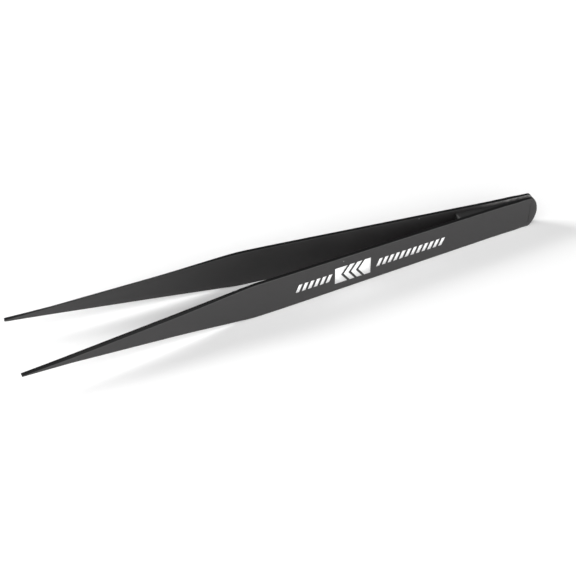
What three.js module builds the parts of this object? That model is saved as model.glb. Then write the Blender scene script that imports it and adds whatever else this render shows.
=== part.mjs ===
// Fine-point precision tweezers, lying on their lower edges.
//
// Two spring-steel arms run together at the heel and spread towards the tips, with a slim
// filler wedge welded between them from the heel to where they part. Each arm is one
// continuous strip of steel. It is modelled as a fixed root and a swinging blade, which meet
// at the point that the flexing arm turns about.
//
// Millimetres, +Z up. X runs along the tool: the heel is at +X and the tips are at -X.
// Y is the direction in which the arms open. The left arm is at -Y, the right arm at +Y.
// "Reach" is a distance along the tool, measured from the heel.

import * as THREE from "three";

// Whole tool
const LENGTH = 135;
const ARM_THICKNESS = 1;

// How the arms spread: half the gap between their inner faces
const HEEL_HALF_GAP = 0.45;
const SPREAD_START = 0;
const SPREAD_END = 15.1;
const HANDLE_SLOPE = 0.0723;
const EASE_START = 69;
const EASE_END = 74;
const POINT_SLOPE = 0.061;

// Outline of an arm seen from the side: half its height. The handle part flares from the heel
// to the shoulder, where the taper to the tip begins. Its lower edge lies flat.
const HEEL_HALF_HEIGHT = 4.5;
const HANDLE_FLARE = 0.0078;
const TIP_HALF_HEIGHT = 0.21;
const TAPER_SLOPE = 0.087;
const SHOULDER_ROUNDING = 0.12;
const HEEL_RADIUS = 6.8;
const HEEL_CORNER_ROUNDING = 0.3;
const HEEL_FIRST_ANGLE = THREE.MathUtils.degToRad(10);

// Ground bevel along the outer edges of the pointed part
const BEVEL = 0.52;
const BEVEL_TIP = 0.09;
const BEVEL_TIP_SLOPE = 0.038;
const BEVEL_START = 78;
const BEVEL_END = 100;

// Edge rounding, and the share of the height that it may take near the tip
const EDGE_ROUNDING = 0.18;
const EDGE_ROUNDING_SHARE = 0.35;
const CORNER_STEPS = 3;

// Filler wedge
const FILLER_HEEL_REACHES = [0.6, 1.1, 1.8];
const FILLER_BODY_START = 3;
const FILLER_END = 22.5;
const FILLER_RECESS = 0.8;
const FILLER_CLEARANCE = 0.03;
const FILLER_CHAMFER = 0.12;

// A cantilever bent by a force turns about a point one third of the way to that force
const GRIP_REACH = 67.5;
const PIVOT_REACH = FILLER_END + (GRIP_REACH - FILLER_END) / 3;
const ARM_SPLIT = 0.3;

// Spacing of the cross-sections along the tool
const SECTION_STEP = 3;
const HEEL_SECTIONS = 8;

function ramp(value, start, end) {
  return THREE.MathUtils.clamp((value - start) / (end - start), 0, 1);
}

// Smaller of two values, rounded where they cross
function smoothMin(a, b, rounding) {
  return (a + b - Math.hypot(a - b, rounding)) / 2;
}

// Integral of a slope that grows evenly from 0 at start to 1 at end and then stays 1
function easedRun(reach, start, end) {
  const share = ramp(reach, start, end);
  return (share * share * (end - start)) / 2 + Math.max(0, reach - end);
}

// Distance of an arm's inner face from the mid-plane
function innerOffset(reach) {
  const opening = HANDLE_SLOPE * easedRun(reach, SPREAD_START, SPREAD_END);
  const easing = (HANDLE_SLOPE - POINT_SLOPE) * easedRun(reach, EASE_START, EASE_END);
  return HEEL_HALF_GAP + opening - easing;
}

// Height of the middle of an arm above its flat lower edge. The middle line runs straight on
// from the handle to the tip.
function middleHeight(reach) {
  return HEEL_HALF_HEIGHT + HANDLE_FLARE * reach;
}

// Half the height of an arm at its inner face
function innerHalfHeight(reach) {
  const taper = TIP_HALF_HEIGHT + TAPER_SLOPE * (LENGTH - reach);
  const straight = smoothMin(middleHeight(reach), taper, SHOULDER_ROUNDING);
  const fromArcCentre = HEEL_RADIUS * Math.cos(HEEL_FIRST_ANGLE) - reach;
  if (fromArcCentre <= 0) return straight;
  return smoothMin(straight, Math.sqrt(HEEL_RADIUS ** 2 - fromArcCentre ** 2), HEEL_CORNER_ROUNDING);
}

function bevelWidth(reach) {
  const nearTip = BEVEL_TIP + BEVEL_TIP_SLOPE * (LENGTH - reach);
  return Math.min(BEVEL, nearTip) * THREE.MathUtils.smoothstep(reach, BEVEL_START, BEVEL_END);
}

// The four corners of a section, as [distance from the mid-plane, height], each replaced by
// a short curve. They run round the section in one direction.
function roundedSection(corners, radius) {
  const points = [];
  corners.forEach((corner, index) => {
    const here = new THREE.Vector2(...corner);
    const before = new THREE.Vector2(...corners.at(index - 1)).sub(here).setLength(radius);
    const after = new THREE.Vector2(...corners[(index + 1) % corners.length]).sub(here).setLength(radius);
    const curve = new THREE.QuadraticBezierCurve(before.add(here), here, after.add(here));
    points.push(...curve.getPoints(CORNER_STEPS));
  });
  return points;
}

function armSection(reach) {
  const inner = innerOffset(reach);
  const outer = inner + ARM_THICKNESS;
  const innerHeight = innerHalfHeight(reach);
  const outerHeight = innerHeight - bevelWidth(reach);
  const corners = [
    [inner, -innerHeight],
    [outer, -outerHeight],
    [outer, outerHeight],
    [inner, innerHeight],
  ];
  const radius = Math.min(EDGE_ROUNDING, 2 * outerHeight * EDGE_ROUNDING_SHARE);
  return { reach, points: roundedSection(corners, radius) };
}

function fillerSection(reach) {
  const side = innerOffset(reach) - FILLER_CLEARANCE;
  const height = innerHalfHeight(reach) - FILLER_RECESS;
  const corners = [
    [-side, -height],
    [side, -height],
    [side, height],
    [-side, height],
  ];
  return { reach, points: roundedSection(corners, Math.min(FILLER_CHAMFER, side / 2)) };
}

// Evenly spaced reaches from start to end, both included
function spacedReaches(start, end) {
  const count = Math.ceil((end - start) / SECTION_STEP);
  return Array.from({ length: count + 1 }, (_, index) => start + ((end - start) * index) / count);
}

// A closed skin over a row of sections, with a flat fan at each end. side is 1 or -1: the arm
// at -Y is the mirror image of the arm at +Y.
function skin(sections, side) {
  const around = sections[0].points.length;
  const vertices = [];
  const triangles = [];
  const addVertex = (reach, across, height) => {
    vertices.push(LENGTH / 2 - reach, side * across, middleHeight(reach) + height);
    return vertices.length / 3 - 1;
  };
  const addTriangle = (a, b, c) => triangles.push(...(side > 0 ? [a, b, c] : [a, c, b]));

  for (const section of sections) {
    section.points.forEach((point) => addVertex(section.reach, point.x, point.y));
  }
  for (let row = 0; row < sections.length - 1; row += 1) {
    for (let k = 0; k < around; k += 1) {
      const next = (k + 1) % around;
      const a = row * around + k;
      const b = row * around + next;
      addTriangle(a, a + around, b);
      addTriangle(b, a + around, b + around);
    }
  }
  const closeEnd = (row, facesHeel) => {
    const section = sections[row];
    const across = section.points.reduce((sum, point) => sum + point.x, 0) / around;
    const centre = addVertex(section.reach, across, 0);
    for (let k = 0; k < around; k += 1) {
      const a = row * around + k;
      const b = row * around + ((k + 1) % around);
      if (facesHeel) addTriangle(centre, a, b);
      else addTriangle(centre, b, a);
    }
  };
  closeEnd(0, true);
  closeEnd(sections.length - 1, false);

  const geometry = new THREE.BufferGeometry();
  geometry.setAttribute("position", new THREE.Float32BufferAttribute(vertices, 3));
  geometry.setIndex(triangles);
  geometry.computeVertexNormals();
  return geometry;
}

// Reaches of the sections of the rounded heel, closer together where the outline turns
function heelReaches() {
  return Array.from({ length: HEEL_SECTIONS }, (_, index) => {
    const angle = THREE.MathUtils.lerp(HEEL_FIRST_ANGLE, Math.PI / 2, index / HEEL_SECTIONS);
    return HEEL_RADIUS * (Math.cos(HEEL_FIRST_ANGLE) - Math.cos(angle));
  });
}

function armRoot(side) {
  const heelEnd = HEEL_RADIUS * Math.cos(HEEL_FIRST_ANGLE);
  const reaches = [...heelReaches(), ...spacedReaches(heelEnd, PIVOT_REACH - ARM_SPLIT / 2)];
  return skin(reaches.map(armSection), side);
}

function armBlade(side) {
  const reaches = spacedReaches(PIVOT_REACH + ARM_SPLIT / 2, LENGTH);
  return skin(reaches.map(armSection), side);
}

function fillerWedge() {
  const reaches = [...FILLER_HEEL_REACHES, ...spacedReaches(FILLER_BODY_START, FILLER_END)];
  return skin(reaches.map(fillerSection), 1);
}

function blackFinish() {
  return new THREE.MeshStandardMaterial({ color: 0x272627, roughness: 0.5, metalness: 0.25 });
}

function fillerFinish() {
  return new THREE.MeshStandardMaterial({ color: 0x272728, roughness: 0.6, metalness: 0.2 });
}

function named(name, geometry, material) {
  const mesh = new THREE.Mesh(geometry, material);
  mesh.name = name;
  return mesh;
}

const tweezers = new THREE.Group();
tweezers.add(named("filler_wedge", fillerWedge(), fillerFinish()));
for (const [arm, side] of [["left", -1], ["right", 1]]) {
  tweezers.add(named(`${arm}_arm_root`, armRoot(side), blackFinish()));
  tweezers.add(named(`${arm}_arm_blade`, armBlade(side), blackFinish()));
}

export default tweezers;
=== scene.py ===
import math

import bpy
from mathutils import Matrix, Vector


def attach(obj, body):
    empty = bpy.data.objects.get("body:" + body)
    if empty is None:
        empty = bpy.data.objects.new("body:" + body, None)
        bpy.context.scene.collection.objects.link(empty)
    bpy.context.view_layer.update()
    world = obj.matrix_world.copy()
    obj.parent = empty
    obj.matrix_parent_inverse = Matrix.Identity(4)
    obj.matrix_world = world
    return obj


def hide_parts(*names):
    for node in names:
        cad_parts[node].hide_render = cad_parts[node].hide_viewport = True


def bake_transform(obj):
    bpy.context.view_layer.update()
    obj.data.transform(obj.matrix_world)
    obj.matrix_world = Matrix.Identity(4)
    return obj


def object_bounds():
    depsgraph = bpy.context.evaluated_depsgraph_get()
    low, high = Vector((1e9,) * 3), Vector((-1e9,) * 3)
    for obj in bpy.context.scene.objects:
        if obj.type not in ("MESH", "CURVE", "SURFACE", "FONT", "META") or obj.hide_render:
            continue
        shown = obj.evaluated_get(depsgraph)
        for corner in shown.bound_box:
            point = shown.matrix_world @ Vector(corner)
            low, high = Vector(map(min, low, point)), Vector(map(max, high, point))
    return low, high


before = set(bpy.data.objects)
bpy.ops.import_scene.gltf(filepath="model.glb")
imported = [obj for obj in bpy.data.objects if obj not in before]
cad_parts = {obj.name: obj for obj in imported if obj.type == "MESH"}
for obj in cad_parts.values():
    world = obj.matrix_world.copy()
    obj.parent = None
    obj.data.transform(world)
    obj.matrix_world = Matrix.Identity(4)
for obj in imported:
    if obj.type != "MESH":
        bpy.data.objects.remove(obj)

# Looks for a pair of straight fine-point tweezers. Two black steel arms are built as
# continuous strips that bend between the heel and the blades, with the filler wedge
# between them and a plain white ornament printed on the left arm's outer face.
# Lengths in the constants below are millimetres unless a comment says otherwise. "Reach" is
# a distance along the tool from its heel, "across" one from the mid-plane, and "height" one
# from the middle line of an arm.

MM = 0.001
CAD_LOW, CAD_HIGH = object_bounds()
LENGTH = (CAD_HIGH.x - CAD_LOW.x) / MM
HEEL_X = CAD_HIGH.x
FLOOR_Z = CAD_LOW.z

# How the arms spread
ARM_THICKNESS = 1.0
HEEL_HALF_GAP = 0.45
SPREAD_START, SPREAD_END = 0.0, 15.1
HANDLE_SLOPE = 0.0723
EASE_START, EASE_END = 69.0, 74.0
POINT_SLOPE = 0.061

# Outline of an arm seen from the side: half its height, and how it changes along the arm
HEEL_HALF_HEIGHT = 4.5
HANDLE_FLARE = 0.0078
TIP_HALF_HEIGHT = 0.21
TIP_ROUND_LENGTH = 0.25
TAPER_SLOPE = 0.087
SHOULDER_ROUNDING = 0.12
HEEL_RADIUS = 6.8
HEEL_CORNER_ROUNDING = 0.3

# Ground bevel along the outer edges of the pointed part
BEVEL = 0.52
BEVEL_TIP = 0.09
BEVEL_TIP_SLOPE = 0.038
BEVEL_START, BEVEL_END = 78.0, 100.0

# Edge rounding, and the wider rolled rim round the heel
OUTER_ROUNDING = 0.2
INNER_ROUNDING = 0.12
ROUNDINGS_IN_ROOM = 3
ARC_STEPS = 5
RIM_WIDTH = 1.3
RIM_DROP = 0.2
RIM_FADE_START, RIM_FADE_END = 3.0, 7.0
RIM_ROWS = (1.0, 0.8, 0.6, 0.4, 0.2)
NARROWEST_SHARE = 0.8

# Spacing of the sections along an arm
HEEL_STEPS = 24
TIP_STEPS = 6
BODY_STEP = 1.1

# Filler wedge
FILLER_START, FILLER_END = 0.5, 22.5
FILLER_RECESS = 0.8
FILLER_CLEARANCE = 0.03
FILLER_ROUNDING = 0.12
FILLER_END_PULL = 0.5
FILLER_SECTIONS = 40

# Printed ornament on the left arm's outer face
PRINT_MID = -0.2
PRINT_SINK = 0.01
PRINT_THICKNESS = 0.015
PRINT_DASH_BANDS = ((28.2, 47.6), (59.6, 69.8))
DASH_HEIGHT = 2.2
DASH_WIDTH = 0.9
DASH_PITCH = 1.6
DASH_SLANT = -0.9
PANEL_START, PANEL_END = 48.3, 58.0
PANEL_HEIGHT = 4.8
PANEL_STEPS = 4
DASH_STEPS = 2
ARROWS = 3
ARROW_DEPTH = 1.7
ARROW_GAP = 0.7

# Colours
COATING_DARK = (0.0165, 0.0158, 0.0162)
COATING_LIGHT = (0.0225, 0.0216, 0.022)
# Painted highlight: a light colour, mixed in a little along the outer corners and more on the inner
# faces near the heel
PAINTED_HIGHLIGHT_COLOUR = (0.35, 0.348, 0.345)
CORNER_HIGHLIGHT = 0.1
HEEL_HIGHLIGHT_START, HEEL_HIGHLIGHT_END = 5.0, 18.0
# Painted shade: a darker colour on the edge strips between the faces
EDGE_PAINTED_SHADE = (0.006, 0.006, 0.0062)
FACE_SHINE, EDGE_SHINE = 0.5, 0.2
DUST = (0.25, 0.25, 0.25)
FILLER_DARK = (0.012, 0.012, 0.0122)
FILLER_LIGHT = (0.02, 0.02, 0.0202)
INK_THIN = (0.62, 0.62, 0.62)
INK_FULL = (0.9, 0.9, 0.9)
FLOOR_DARK = (0.855, 0.855, 0.855)
FLOOR_LIGHT = (0.87, 0.87, 0.87)

# Textures: scales per metre, bump heights in metres
NOISE_LOW, NOISE_HIGH = 0.3, 0.7
COATING_GRAIN, COATING_WAVES, COATING_CLOUDS = 7000, 900, 130
COATING_ROUGHNESS = (0.46, 0.56)
COATING_IOR = 1.5
# Patchiness of the painted highlight
HIGHLIGHT_PATCHES = (0.2, 1.0)
DUST_CELLS = 420
DUST_RADIUS = (0.035, 0.07)
DUST_RARITY = (0.80, 0.84)
WAVE_BUMP, WAVE_HEIGHT = 0.25, 0.00001
GRAIN_BUMP, GRAIN_HEIGHT = 0.3, 0.000008
FILLER_GRAIN, FILLER_CLOUDS = 6000, 400
FILLER_ROUGHNESS = (0.55, 0.7)
FILLER_BUMP, FILLER_BUMP_HEIGHT = 0.4, 0.00001
INK_COVER = 2500
INK_ROUGHNESS = (0.4, 0.55)
FLOOR_MOTTLE = 60
FLOOR_ROUGHNESS = 0.9

# Light: metres, watts and degrees
FLOOR_HALF_SIZE = 3.0
SKY_CENTRE = (-0.3, -0.95, 0.2)
SKY_FADE = (0.15, 0.55)
SKY_DARK, SKY_BRIGHT = 0.06, 2.2
KEY_HORIZONTAL = (-0.816, 0.578, 0)
KEY_ELEVATION = 27
KEY_DISTANCE = 0.9
KEY_SIZE = 0.35
KEY_POWER = 8

# Camera: metres, degrees, and millimetres for the lens and sensor
CAMERA_PLACE = (-0.07589, -0.19375, 0.19178)
CAMERA_TURN = (47.335, 0.540, -21.711)
CAMERA_LENS = 72.47
CAMERA_SENSOR = 36
CAMERA_CLIP = (0.01, 20)


def smoothstep(value, start, end):
    share = min(1.0, max(0.0, (value - start) / (end - start)))
    return share * share * (3 - 2 * share)


def smooth_min(a, b, rounding):
    return (a + b - math.hypot(a - b, rounding)) / 2


def eased_run(reach, start, end):
    """Integral of a slope that grows evenly from 0 at start to 1 at end and then stays 1."""
    share = min(1.0, max(0.0, (reach - start) / (end - start)))
    return share * share * (end - start) / 2 + max(0.0, reach - end)


def inner_offset(reach):
    """Distance of an arm's inner face from the mid-plane."""
    opening = HANDLE_SLOPE * eased_run(reach, SPREAD_START, SPREAD_END)
    easing = (HANDLE_SLOPE - POINT_SLOPE) * eased_run(reach, EASE_START, EASE_END)
    return HEEL_HALF_GAP + opening - easing


def middle_height(reach):
    """Height of the middle of an arm above the floor that its flat lower edge rests on."""
    return HEEL_HALF_HEIGHT + HANDLE_FLARE * reach


def body_half_height(reach):
    """Half the height of an arm at its inner face, away from its rounded ends."""
    taper = TIP_HALF_HEIGHT + TAPER_SLOPE * (LENGTH - reach)
    return smooth_min(middle_height(reach), taper, SHOULDER_ROUNDING)


def outline_half_height(reach):
    """Half the height of an arm at its inner face, with the rounding of the heel."""
    if reach >= HEEL_RADIUS:
        return body_half_height(reach)
    arc_height = math.sqrt(HEEL_RADIUS ** 2 - (HEEL_RADIUS - reach) ** 2)
    return max(0.0, smooth_min(body_half_height(reach), arc_height, HEEL_CORNER_ROUNDING))


def bevel_width(reach):
    near_tip = BEVEL_TIP + BEVEL_TIP_SLOPE * (LENGTH - reach)
    return min(BEVEL, near_tip) * smoothstep(reach, BEVEL_START, BEVEL_END)


def point(reach, across, height):
    """A point in the row frame, in metres."""
    return Vector((HEEL_X - reach * MM, across * MM, FLOOR_Z + (middle_height(reach) + height) * MM))


def arm_outline():
    """The upper half of an arm's outline at its inner face, from the heel's apex to the tip's.

    Each point is (reach, height).
    """
    outline = []
    for step in range(HEEL_STEPS):
        angle = math.pi / 2 * step / HEEL_STEPS
        reach = HEEL_RADIUS * (1 - math.cos(angle))
        outline.append((reach, outline_half_height(reach)))
    body_end = LENGTH - TIP_ROUND_LENGTH
    body_steps = round((body_end - HEEL_RADIUS) / BODY_STEP)
    for step in range(body_steps):
        reach = HEEL_RADIUS + (body_end - HEEL_RADIUS) * step / body_steps
        outline.append((reach, body_half_height(reach)))
    for step in range(TIP_STEPS + 1):
        angle = math.pi / 2 * step / TIP_STEPS
        reach = body_end + TIP_ROUND_LENGTH * math.sin(angle)
        outline.append((reach, body_half_height(reach) * math.cos(angle)))
    outline[-1] = (LENGTH, 0.0)
    return outline


def outline_normals(outline):
    """The unit vector that points out of the outline at each of its points, as (reach, height)."""
    before = [(outline[1][0], -outline[1][1])] + outline[:-1]
    after = outline[1:] + [(outline[-2][0], -outline[-2][1])]
    normals = []
    for start, end in zip(before, after):
        along = Vector((end[0] - start[0], end[1] - start[1])).normalized()
        normals.append((-along.y, along.x))
    return normals


def edge_profile(reach):
    """Rows of a band that runs round the arm's edge, from its outer face to its inner face.

    Each row is (distance inwards from the outline, distance from the inner face, painted highlight,
    edge shade). The painted highlight lightens the outer corner and the inner faces at the heel, and
    the edge shade darkens the edge between the faces with painted shade and makes it duller.
    """
    bevel = bevel_width(reach)
    lean = math.atan2(bevel, ARM_THICKNESS)
    room = body_half_height(reach) - bevel
    outer_radius = min(OUTER_ROUNDING, room / ROUNDINGS_IN_ROOM)
    inner_radius = min(INNER_ROUNDING, room / ROUNDINGS_IN_ROOM)
    outer_run = outer_radius * math.tan(math.pi / 4 - lean / 2)
    inner_run = inner_radius * math.tan(math.pi / 4 + lean / 2)
    rim_width = min(RIM_WIDTH, room * NARROWEST_SHARE - outer_run)
    rim_drop = RIM_DROP * (1 - smoothstep(reach, RIM_FADE_START, RIM_FADE_END))
    # Painted highlight on the inner faces, strongest at the heel
    heel_highlight = 1 - smoothstep(reach, HEEL_HIGHLIGHT_START, HEEL_HIGHLIGHT_END)
    rows = []
    for share in RIM_ROWS:
        drop = rim_drop * (1 - share) ** 2
        rows.append((bevel + outer_run + rim_width * share, ARM_THICKNESS - drop, 0.0, 0.0))
    # Outer arc: a little painted highlight along the corner, and painted shade growing towards the
    # edge strip
    for step in range(ARC_STEPS + 1):
        turn = (math.pi / 2 - lean) * step / ARC_STEPS
        inwards = bevel + outer_run - outer_radius * math.sin(turn)
        up = ARM_THICKNESS - rim_drop - outer_radius * (1 - math.cos(turn))
        share = step / ARC_STEPS
        rows.append((inwards, up, CORNER_HIGHLIGHT * math.sin(math.pi * share), share ** 2))
    # Inner arc: painted shade fading towards the inner face, and painted highlight growing onto it
    # near the heel
    for step in range(ARC_STEPS + 1):
        turn = math.pi / 2 - lean + (math.pi / 2 + lean) * step / ARC_STEPS
        inwards = inner_run - inner_radius * math.sin(turn)
        up = inner_radius * (1 + math.cos(turn))
        share = step / ARC_STEPS
        rows.append((inwards, up, heel_highlight * share ** 2, 1 - share))
    rows.append((inner_run + rim_width, 0.0, 0.0, 0.0))
    return rows


def build_arm(name, side):
    """One arm as a closed mesh of quads. side is -1 for the arm at -Y and 1 for the arm at +Y."""
    outline = arm_outline()
    normals = outline_normals(outline)
    last = len(outline) - 1
    vertices, painted_highlight, dull_edge_painted_shade, rings = [], [], [], {}
    for half in (1, -1):
        for index, ((reach, height), (n_reach, n_height)) in enumerate(zip(outline, normals)):
            if half < 0 and index in (0, last):
                rings[half, index] = rings[1, index]
                continue
            ring = []
            for inwards, up, highlight_share, painted_shade_share in edge_profile(reach):
                at_reach = reach - n_reach * inwards
                at_height = half * (height - n_height * inwards)
                ring.append(len(vertices))
                vertices.append(point(at_reach, side * (inner_offset(at_reach) + up), at_height))
                painted_highlight.append(highlight_share)
                dull_edge_painted_shade.append(painted_shade_share)
            rings[half, index] = ring
    faces = []
    rows = len(rings[1, 0])
    for index in range(last):
        upper, upper_next = rings[1, index], rings[1, index + 1]
        lower, lower_next = rings[-1, index], rings[-1, index + 1]
        for row in range(rows - 1):
            faces.append((upper[row], upper_next[row], upper_next[row + 1], upper[row + 1]))
            faces.append((lower[row], lower[row + 1], lower_next[row + 1], lower_next[row]))
        faces.append((lower[0], lower_next[0], upper_next[0], upper[0]))
        faces.append((upper[-1], upper_next[-1], lower_next[-1], lower[-1]))
    faces = [tuple(dict.fromkeys(face)) for face in faces]
    if side < 0:
        faces = [face[::-1] for face in faces]
    return mesh_object(name, vertices, faces, {"painted_highlight": painted_highlight, "dull_edge_painted_shade": dull_edge_painted_shade})


def mesh_object(name, vertices, faces, attributes=None):
    mesh = bpy.data.meshes.new(name)
    mesh.from_pydata(vertices, [], faces)
    mesh.validate()
    mesh.shade_smooth()
    for label, values in (attributes or {}).items():
        attribute = mesh.attributes.new(label, "FLOAT", "POINT")
        attribute.data.foreach_set("value", values)
    made = bpy.data.objects.new(name, mesh)
    bpy.context.scene.collection.objects.link(made)
    return made


def build_filler():
    """The wedge between the arms, lofted from rounded sections."""
    vertices, faces = [], []
    for section in range(FILLER_SECTIONS + 1):
        reach = FILLER_START + (FILLER_END - FILLER_START) * section / FILLER_SECTIONS
        end_gap = min(reach - FILLER_START, FILLER_END - reach)
        pull = FILLER_ROUNDING * max(0.0, 1 - end_gap / FILLER_ROUNDING) * FILLER_END_PULL
        side = inner_offset(reach) - FILLER_CLEARANCE - pull
        height = outline_half_height(reach) - FILLER_RECESS
        radius = min(FILLER_ROUNDING, side / 2)
        for across_sign, height_sign in ((1, -1), (1, 1), (-1, 1), (-1, -1)):
            turning_up = across_sign * height_sign < 0
            for step in range(ARC_STEPS + 1):
                turn = math.pi / 2 * (step if turning_up else ARC_STEPS - step) / ARC_STEPS
                across = side - radius * (1 - math.sin(turn))
                up = height - pull - radius * (1 - math.cos(turn))
                vertices.append(point(reach, across_sign * across, height_sign * up))
    around = 4 * (ARC_STEPS + 1)
    for section in range(FILLER_SECTIONS):
        for k in range(around):
            a, b = section * around + k, section * around + (k + 1) % around
            faces.append((a, a + around, b + around, b))
    faces.append(tuple(range(around)))
    faces.append(tuple(reversed(range(FILLER_SECTIONS * around, (FILLER_SECTIONS + 1) * around))))
    return mesh_object("filler_wedge_shape", vertices, faces)


def outer_face_point(reach, height, proud):
    """A point on or just above the left arm's outer face."""
    return point(reach, -(inner_offset(reach) + ARM_THICKNESS + proud), height)


def print_strip(vertices, faces, rows):
    """Adds one printed shape: a thin plate over rows of (reach, height) points, lowest row first."""
    first = len(vertices)
    for proud in (-PRINT_SINK, PRINT_THICKNESS):
        for row in rows:
            vertices.extend(outer_face_point(reach, height, proud) for reach, height in row)
    count = len(rows[0])
    layer = count * len(rows)
    for low in range(first, first + layer - count, count):
        up = low + count
        for k in range(count - 1):
            faces.append((layer + low + k, layer + up + k, layer + up + k + 1, layer + low + k + 1))
            faces.append((low + k, low + k + 1, up + k + 1, up + k))
        faces.append((low, up, layer + up, layer + low))
        low_end, up_end = low + count - 1, up + count - 1
        faces.append((low_end, layer + low_end, layer + up_end, up_end))
    top = first + layer - count
    for k in range(count - 1):
        low, up = first + k, top + k
        faces.append((low, layer + low, layer + low + 1, low + 1))
        faces.append((up, up + 1, layer + up + 1, layer + up))


def spaced(start, end, pieces):
    return [start + (end - start) * k / pieces for k in range(pieces + 1)]


def build_print():
    """A plain ornament: a panel cut by arrow-shaped gaps between two rows of slanted dashes."""
    vertices, faces = [], []
    for start, end in PRINT_DASH_BANDS:
        count = int((end - start - DASH_SLANT) // DASH_PITCH)
        for k in range(count):
            left = start + k * DASH_PITCH
            reaches = spaced(left, left + DASH_WIDTH, DASH_STEPS)
            lower = [(reach, PRINT_MID - DASH_HEIGHT / 2) for reach in reaches]
            upper = [(reach + DASH_SLANT, height + DASH_HEIGHT) for reach, height in lower]
            print_strip(vertices, faces, (lower, upper))
    bounds = spaced(PANEL_START, PANEL_END - ARROW_DEPTH, ARROWS + 1)
    for k in range(ARROWS + 1):
        rear = bounds[k] + (ARROW_GAP / 2 if k else 0)
        front = bounds[k + 1] - (ARROW_GAP / 2 if k < ARROWS else 0)
        rear_depth = ARROW_DEPTH if k else 0
        front_depth = ARROW_DEPTH if k < ARROWS else 0
        front_base = front if k < ARROWS else PANEL_END
        edges = spaced(rear, front_base, PANEL_STEPS)
        middle = spaced(rear + rear_depth, front_base + front_depth, PANEL_STEPS)
        rows = [
            [(reach, PRINT_MID - PANEL_HEIGHT / 2) for reach in edges],
            [(reach, PRINT_MID) for reach in middle],
            [(reach, PRINT_MID + PANEL_HEIGHT / 2) for reach in edges],
        ]
        print_strip(vertices, faces, rows)
    return mesh_object("printed_ornament", vertices, faces)


def new_material(name):
    material = bpy.data.materials.new(name)
    material.use_nodes = True
    nodes = material.node_tree.nodes
    links = material.node_tree.links
    return material, nodes, links, nodes["Principled BSDF"]


def noise(nodes, links, place, scale, detail):
    node = nodes.new("ShaderNodeTexNoise")
    node.inputs["Scale"].default_value = scale
    node.inputs["Detail"].default_value = detail
    links.new(place.outputs["Object"], node.inputs["Vector"])
    return node


def spread(nodes, links, source, low, high, from_low=NOISE_LOW, from_high=NOISE_HIGH):
    node = nodes.new("ShaderNodeMapRange")
    node.inputs["From Min"].default_value = from_low
    node.inputs["From Max"].default_value = from_high
    node.inputs["To Min"].default_value = low
    node.inputs["To Max"].default_value = high
    links.new(source, node.inputs["Value"])
    return node


def mix_colours(nodes, links, factor, first, second):
    node = nodes.new("ShaderNodeMix")
    node.data_type = "RGBA"
    links.new(factor, node.inputs["Factor"])
    for socket, colour in ((node.inputs["A"], first), (node.inputs["B"], second)):
        if isinstance(colour, tuple):
            socket.default_value = (*colour, 1)
        else:
            links.new(colour, socket)
    return node.outputs["Result"]


def multiply(nodes, links, first, second):
    node = nodes.new("ShaderNodeMath")
    node.operation = "MULTIPLY"
    links.new(first, node.inputs[0])
    links.new(second, node.inputs[1])
    return node.outputs[0]


def black_coating():
    """Satin black coating: fine grain, painted highlights on the outer corners and the inner faces at
    the heel, edges duller and darkened with painted shade, and a few specks of dust.
    """
    material, nodes, links, shader = new_material("black_coating")
    place = nodes.new("ShaderNodeTexCoord")
    grain = noise(nodes, links, place, COATING_GRAIN, 2)
    waviness = noise(nodes, links, place, COATING_WAVES, 2)
    cloud = noise(nodes, links, place, COATING_CLOUDS, 3)
    shade = mix_colours(nodes, links, cloud.outputs["Fac"], COATING_DARK, COATING_LIGHT)

    # Painted highlight: a light colour mixed in along the outer corners and on the inner faces near
    # the heel
    painted_highlight = nodes.new("ShaderNodeAttribute")
    painted_highlight.attribute_name = "painted_highlight"
    patchy = spread(nodes, links, waviness.outputs["Fac"], *HIGHLIGHT_PATCHES)
    highlight_amount = multiply(nodes, links, painted_highlight.outputs["Fac"], patchy.outputs["Result"])
    shade = mix_colours(nodes, links, highlight_amount, shade, PAINTED_HIGHLIGHT_COLOUR)

    # Painted shade: the edge strips between the faces are darkened, and their specular level is
    # lowered too
    dull_edge_painted_shade = nodes.new("ShaderNodeAttribute")
    dull_edge_painted_shade.attribute_name = "dull_edge_painted_shade"
    shade = mix_colours(nodes, links, dull_edge_painted_shade.outputs["Fac"], shade, EDGE_PAINTED_SHADE)
    shine = spread(nodes, links, dull_edge_painted_shade.outputs["Fac"], FACE_SHINE, EDGE_SHINE, 0.0, 1.0)
    links.new(shine.outputs["Result"], shader.inputs["Specular IOR Level"])

    cells = nodes.new("ShaderNodeTexVoronoi")
    cells.inputs["Scale"].default_value = DUST_CELLS
    links.new(place.outputs["Object"], cells.inputs["Vector"])
    near = spread(nodes, links, cells.outputs["Distance"], 1.0, 0.0, *DUST_RADIUS)
    rare = spread(nodes, links, cells.outputs["Color"], 0.0, 1.0, *DUST_RARITY)
    dust = multiply(nodes, links, near.outputs["Result"], rare.outputs["Result"])
    shade = mix_colours(nodes, links, dust, shade, DUST)
    links.new(shade, shader.inputs["Base Color"])

    rough = spread(nodes, links, cloud.outputs["Fac"], *COATING_ROUGHNESS)
    links.new(rough.outputs["Result"], shader.inputs["Roughness"])
    shader.inputs["IOR"].default_value = COATING_IOR

    wavy = nodes.new("ShaderNodeBump")
    wavy.inputs["Strength"].default_value = WAVE_BUMP
    wavy.inputs["Distance"].default_value = WAVE_HEIGHT
    links.new(waviness.outputs["Fac"], wavy.inputs["Height"])
    fine = nodes.new("ShaderNodeBump")
    fine.inputs["Strength"].default_value = GRAIN_BUMP
    fine.inputs["Distance"].default_value = GRAIN_HEIGHT
    links.new(grain.outputs["Fac"], fine.inputs["Height"])
    links.new(wavy.outputs["Normal"], fine.inputs["Normal"])
    links.new(fine.outputs["Normal"], shader.inputs["Normal"])
    return material


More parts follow.
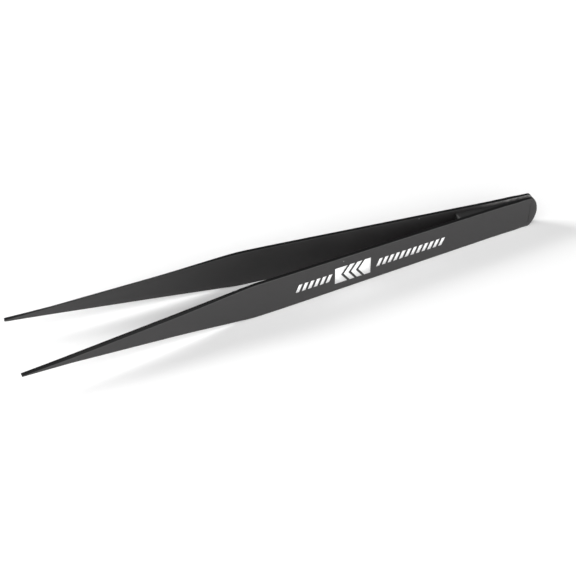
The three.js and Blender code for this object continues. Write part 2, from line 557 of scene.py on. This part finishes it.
def dull_black():
    """The filler's coating: duller and darker than the arms'."""
    material, nodes, links, shader = new_material("dull_black")
    place = nodes.new("ShaderNodeTexCoord")
    grain = noise(nodes, links, place, FILLER_GRAIN, 3)
    cloud = noise(nodes, links, place, FILLER_CLOUDS, 2)
    shade = mix_colours(nodes, links, cloud.outputs["Fac"], FILLER_DARK, FILLER_LIGHT)
    links.new(shade, shader.inputs["Base Color"])
    rough = spread(nodes, links, cloud.outputs["Fac"], *FILLER_ROUGHNESS)
    links.new(rough.outputs["Result"], shader.inputs["Roughness"])
    bump = nodes.new("ShaderNodeBump")
    bump.inputs["Strength"].default_value = FILLER_BUMP
    bump.inputs["Distance"].default_value = FILLER_BUMP_HEIGHT
    links.new(grain.outputs["Fac"], bump.inputs["Height"])
    links.new(bump.outputs["Normal"], shader.inputs["Normal"])
    return material


def white_ink():
    """Pad-printed white ink, slightly uneven in cover."""
    material, nodes, links, shader = new_material("white_ink")
    place = nodes.new("ShaderNodeTexCoord")
    cover = noise(nodes, links, place, INK_COVER, 3)
    shade = mix_colours(nodes, links, cover.outputs["Fac"], INK_THIN, INK_FULL)
    links.new(shade, shader.inputs["Base Color"])
    rough = spread(nodes, links, cover.outputs["Fac"], *INK_ROUGHNESS)
    links.new(rough.outputs["Result"], shader.inputs["Roughness"])
    return material


def floor_material():
    """Matt white studio board with a barely visible mottle."""
    material, nodes, links, shader = new_material("studio_floor")
    place = nodes.new("ShaderNodeTexCoord")
    mottle = noise(nodes, links, place, FLOOR_MOTTLE, 2)
    shade = mix_colours(nodes, links, mottle.outputs["Fac"], FLOOR_DARK, FLOOR_LIGHT)
    links.new(shade, shader.inputs["Base Color"])
    shader.inputs["Roughness"].default_value = FLOOR_ROUGHNESS
    return material


def build_floor():
    size = FLOOR_HALF_SIZE
    corners = [(-size, -size, 0), (size, -size, 0), (size, size, 0), (-size, size, 0)]
    floor = mesh_object("floor", corners, [(0, 1, 2, 3)])
    floor.data.materials.append(floor_material())


def add_key_light():
    """A soft box to the left of and behind the tool, rather low."""
    lamp = bpy.data.lights.new("key", "AREA")
    lamp.shape = "SQUARE"
    lamp.size = KEY_SIZE
    lamp.energy = KEY_POWER
    key = bpy.data.objects.new("key", lamp)
    bpy.context.scene.collection.objects.link(key)
    elevation = math.radians(KEY_ELEVATION)
    direction = Vector(KEY_HORIZONTAL).normalized() * math.cos(elevation)
    direction.z = math.sin(elevation)
    key.location = direction * KEY_DISTANCE
    key.rotation_euler = direction.to_track_quat("Z", "Y").to_euler()


def add_world():
    """A studio that is bright in front of the tool and dark overhead and behind it."""
    world = bpy.data.worlds.new("studio")
    bpy.context.scene.world = world
    world.use_nodes = True
    nodes = world.node_tree.nodes
    links = world.node_tree.links
    background = nodes["Background"]
    background.inputs["Color"].default_value = (1, 1, 1, 1)
    place = nodes.new("ShaderNodeTexCoord")
    facing = nodes.new("ShaderNodeVectorMath")
    facing.operation = "DOT_PRODUCT"
    facing.inputs[1].default_value = Vector(SKY_CENTRE).normalized()
    links.new(place.outputs["Generated"], facing.inputs[0])
    strength = spread(nodes, links, facing.outputs["Value"], SKY_DARK, SKY_BRIGHT, *SKY_FADE)
    strength.interpolation_type = "SMOOTHSTEP"
    links.new(strength.outputs["Result"], background.inputs["Strength"])


def add_camera():
    data = bpy.data.cameras.new("camera")
    data.lens = CAMERA_LENS
    data.sensor_width = CAMERA_SENSOR
    data.clip_start, data.clip_end = CAMERA_CLIP
    camera = bpy.data.objects.new("camera", data)
    bpy.context.scene.collection.objects.link(camera)
    camera.location = CAMERA_PLACE
    camera.rotation_euler = [math.radians(angle) for angle in CAMERA_TURN]
    bpy.context.scene.camera = camera


def dress(piece, material):
    piece.data.materials.append(material)


def bend_with_arm(piece):
    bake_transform(piece)


coating = black_coating()
for arm_name, arm_side in (("left", -1), ("right", 1)):
    arm = build_arm(f"{arm_name}_arm", arm_side)
    dress(arm, coating)
    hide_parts(f"{arm_name}_arm_root", f"{arm_name}_arm_blade")
    bend_with_arm(arm)

filler = build_filler()
dress(filler, dull_black())
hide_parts("filler_wedge")
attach(filler, "heel")

ornament = build_print()
dress(ornament, white_ink())
bend_with_arm(ornament)

build_floor()
add_key_light()
add_world()
add_camera()
bpy.context.scene.view_settings.view_transform = "Standard"
